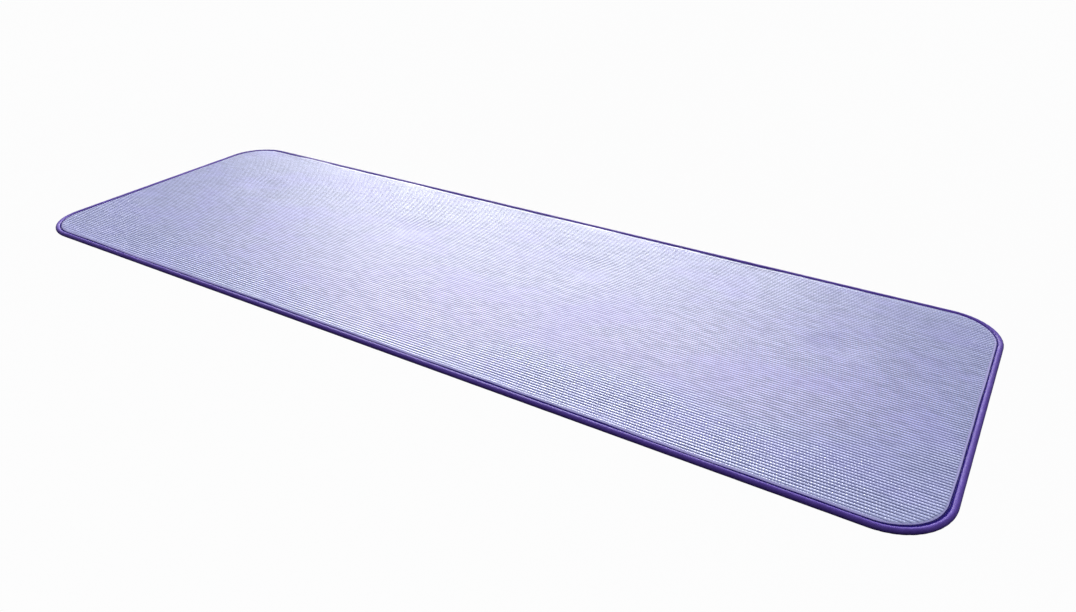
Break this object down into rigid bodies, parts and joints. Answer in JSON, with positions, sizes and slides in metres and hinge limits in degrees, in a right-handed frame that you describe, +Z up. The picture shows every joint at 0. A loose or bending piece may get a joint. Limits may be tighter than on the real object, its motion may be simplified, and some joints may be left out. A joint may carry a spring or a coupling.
{
  "type": "infrared heated blanket",
  "caption": "Thin flat far-infrared heated mat with a finely ribbed face, rounded corners and a piped edge; folds across its width into quarters.",
  "frame": {"origin": "centre of the underside, where the opened mat rests on the floor", "axes": "+X along the length from the head end to the foot end, +Y towards the edge with the power inlet, +Z up through the thickness"},
  "size_m": [1.82, 0.62, 0.01],
  "materials": {
    "top_cover": "matte",
    "bottom_cover": "matte",
    "binding": "matte",
    "cord": "matte",
    "foam": "matte",
    "felt": "matte",
    "reflector": "gloss",
    "heating_wire": "satin",
    "inlet_shell": "satin",
    "pin_carrier": "satin",
    "contact": "polished",
    "gasket": "matte",
    "screw": "satin",
    "board": "satin",
    "live_insulation": "satin",
    "neutral_insulation": "satin",
    "sensor_insulation": "satin",
    "component_case": "satin",
    "splice_case": "satin",
    "sensor_case": "satin"
  },
  "bodies": {
    "head_panel": {"bottom_cover_head": "bottom_cover", "lower_foam_head": "foam", "heat_reflector_head": "reflector", "heater_felt_head": "felt", "heating_wire_head": "heating_wire", "upper_foam_head": "foam", "top_cover_head": "top_cover", "binding_head": "binding", "piping_cord_head": "cord", "piping_cord_head_back": "cord", "inlet_shell_upper": "inlet_shell", "inlet_shell_lower": "inlet_shell", "inlet_insert": "pin_carrier", "contact_pin_1": "contact", "contact_pin_2": "contact", "contact_pin_3": "contact", "contact_pin_4": "contact", "inlet_gasket": "gasket", "shell_screw_1": "screw", "shell_screw_2": "screw", "terminal_board": "board", "live_lead": "live_insulation", "neutral_lead": "neutral_insulation", "sensor_lead": "sensor_insulation", "thermostat": "component_case", "wire_splice": "splice_case", "temperature_sensor": "sensor_case"},
    "chest_panel": {"bottom_cover_chest": "bottom_cover", "lower_foam_chest": "foam", "heat_reflector_chest": "reflector", "heater_felt_chest": "felt", "heating_wire_chest": "heating_wire", "upper_foam_chest": "foam", "top_cover_chest": "top_cover", "binding_chest_front": "binding", "piping_cord_chest_front": "cord", "binding_chest_back": "binding", "piping_cord_chest_back": "cord"},
    "hip_panel": {"bottom_cover_hip": "bottom_cover", "lower_foam_hip": "foam", "heat_reflector_hip": "reflector", "heater_felt_hip": "felt", "heating_wire_hip": "heating_wire", "upper_foam_hip": "foam", "top_cover_hip": "top_cover", "binding_hip_front": "binding", "piping_cord_hip_front": "cord", "binding_hip_back": "binding", "piping_cord_hip_back": "cord"},
    "foot_panel": {"bottom_cover_foot": "bottom_cover", "lower_foam_foot": "foam", "heat_reflector_foot": "reflector", "heater_felt_foot": "felt", "heating_wire_foot": "heating_wire", "upper_foam_foot": "foam", "top_cover_foot": "top_cover", "binding_foot": "binding", "piping_cord_foot": "cord", "wire_end_cap": "splice_case"}
  },
  "joints": [
    {"name": "fold_head", "type": "hinge", "parent": "chest_panel", "child": "head_panel", "pos_m": [-0.4565, 0, 0.0105], "axis": [0, 1, 0], "range_deg": [0, 179.9]},
    {"name": "fold_centre", "type": "hinge", "parent": "chest_panel", "child": "hip_panel", "pos_m": [0, 0, 0.0222], "axis": [0, -1, 0], "range_deg": [0, 179.9]},
    {"name": "fold_foot", "type": "hinge", "parent": "hip_panel", "child": "foot_panel", "pos_m": [0.4565, 0, 0.0105], "axis": [0, -1, 0], "range_deg": [0, 179.9]}
  ]
}
